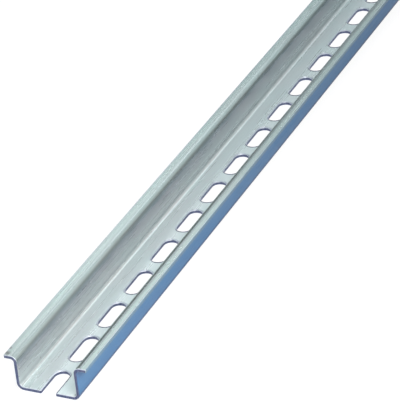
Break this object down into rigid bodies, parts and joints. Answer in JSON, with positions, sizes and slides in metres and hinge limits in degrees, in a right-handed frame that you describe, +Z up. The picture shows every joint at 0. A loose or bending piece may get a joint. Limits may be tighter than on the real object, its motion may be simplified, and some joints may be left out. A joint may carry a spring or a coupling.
{
  "type": "din rail",
  "caption": "Perforated hat-section steel mounting rail, 35 mm wide and 15 mm deep, for clip-on electrical devices.",
  "frame": {"origin": "centre of the underside of the base, half way along", "axes": "+X across the rail, +Y along it, away from the end whose slot is cut open deepest, +Z up out of the channel's mouth"},
  "size_m": [0.035, 0.5, 0.015],
  "materials": {
    "zinc_steel": "bright zinc plate with a faint blue passivation, rolled along its length"
  },
  "bodies": {
    "root": {"rail": "zinc_steel"}
  },
  "joints": []
}
